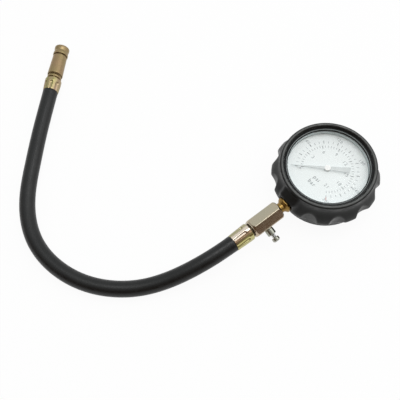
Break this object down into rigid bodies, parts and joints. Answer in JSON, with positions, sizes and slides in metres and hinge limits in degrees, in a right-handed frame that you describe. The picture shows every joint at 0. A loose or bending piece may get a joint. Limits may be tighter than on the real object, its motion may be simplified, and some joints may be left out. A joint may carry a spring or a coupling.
{
  "type": "compression tester gauge",
  "caption": "Dial pressure gauge in a lobed rubber boot, with a release valve on a hexagonal adapter, a short hose and a quick coupler with a sliding sleeve.",
  "frame": {"origin": "centre of the boot's flat back face, on the dial's axis", "axes": "+Z out of the dial, stem along -Y, release valve along +X, leaning 15 degrees down"},
  "size_m": [0.283, 0.252, 0.0345],
  "materials": {
    "boot_rubber": "matte moulded rubber",
    "black_steel": "black gloss paint",
    "clear_lens": "clear, polished",
    "seal_rubber": "matte",
    "dial_white": "white print ground, matte",
    "bright_steel": "bright",
    "pointer_grey": "dark grey, matte",
    "hub_white": "white",
    "brass": "machined",
    "bronze": "drawn",
    "adapter_brass": "dull machined",
    "nickel": "nickel plate",
    "yellow_zinc": "yellow passivated plate",
    "hose_rubber": "smooth satin rubber"
  },
  "bodies": {
    "gauge": {"rubber_boot": "boot_rubber", "case": "black_steel", "bezel_ring": "black_steel", "lens": "clear_lens", "lens_gasket": "seal_rubber", "dial_plate": "dial_white", "stop_pin": "bright_steel", "lower_plate": "brass", "upper_plate": "brass", "plate_posts": "brass", "plate_screws": "bright_steel", "bourdon_tube": "bronze", "hairspring": "bronze", "stem_socket": "brass", "case_screws": "bright_steel", "restrictor": "brass", "hex_adapter": "adapter_brass", "valve_body": "nickel", "valve_spring": "bright_steel", "hose_nipple": "adapter_brass", "near_ferrule": "yellow_zinc", "hose": "hose_rubber", "far_ferrule": "yellow_zinc", "coupler_tail": "yellow_zinc", "coupler_body": "yellow_zinc", "sleeve_spring": "bright_steel", "lock_balls": "bright_steel", "coupler_seal": "seal_rubber", "check_barrel": "brass", "check_spring": "bright_steel"},
    "pointer_set": {"pointer": "pointer_grey", "pointer_hub": "hub_white", "pinion_arbor": "bright_steel"},
    "sector_set": {"sector_gear": "brass", "sector_arbor": "bright_steel"},
    "tube_end": {"bourdon_tip": "brass"},
    "link": {"tip_link": "bright_steel"},
    "release_set": {"valve_button": "nickel", "valve_seal": "seal_rubber"},
    "sleeve": {"coupler_sleeve": "yellow_zinc"},
    "check_valve": {"check_pin": "bright_steel"}
  },
  "joints": [
    {"name": "pointer_turn", "type": "hinge", "parent": "gauge", "child": "pointer_set", "pos_m": [0, 0, 0.028], "axis": [0, 0, -1], "range_deg": [0, 270], "stiffness_Nm_per_rad": 0.0005, "springref_deg": -11.46, "deforming": ["hairspring"]},
    {"name": "sector_swing", "type": "hinge", "parent": "gauge", "child": "sector_set", "pos_m": [0.0081, -0.01403, 0.0185], "axis": [0, 0, 1], "range_deg": [0, 37]},
    {"name": "tube_flex", "type": "hinge", "parent": "gauge", "child": "tube_end", "pos_m": [-0.00571, 0.01029, 0.018], "axis": [0, 0, 1], "range_deg": [0, 7], "deforming": ["bourdon_tube"]},
    {"name": "link_swing", "type": "hinge", "parent": "tube_end", "child": "link", "pos_m": [0.01869, -0.00892, 0.0204], "axis": [0, 0, -1], "range_deg": [0, 7]},
    {"name": "release_press", "type": "slide", "parent": "gauge", "child": "release_set", "axis": [-0.9659, 0, 0.2588], "range_m": [0, 0.001], "stiffness_N_per_m": 400, "springref_m": -0.0015, "deforming": ["valve_spring"]},
    {"name": "sleeve_retract", "type": "slide", "parent": "gauge", "child": "sleeve", "axis": [0.7071, -0.7071, 0], "range_m": [0, 0.0014], "stiffness_N_per_m": 1500, "springref_m": -0.002, "deforming": ["sleeve_spring"]},
    {"name": "check_press", "type": "slide", "parent": "gauge", "child": "check_valve", "axis": [0.7071, -0.7071, 0], "range_m": [0, 0.0012], "stiffness_N_per_m": 300, "springref_m": -0.001, "deforming": ["check_spring"]}
  ],
  "couplings": [
    {"joint": "sector_swing", "follows": "pointer_turn", "ratio": 0.125},
    {"joint": "tube_flex", "follows": "pointer_turn", "ratio": 0.02382},
    {"joint": "link_swing", "follows": "pointer_turn", "ratio": 0.02382}
  ]
}
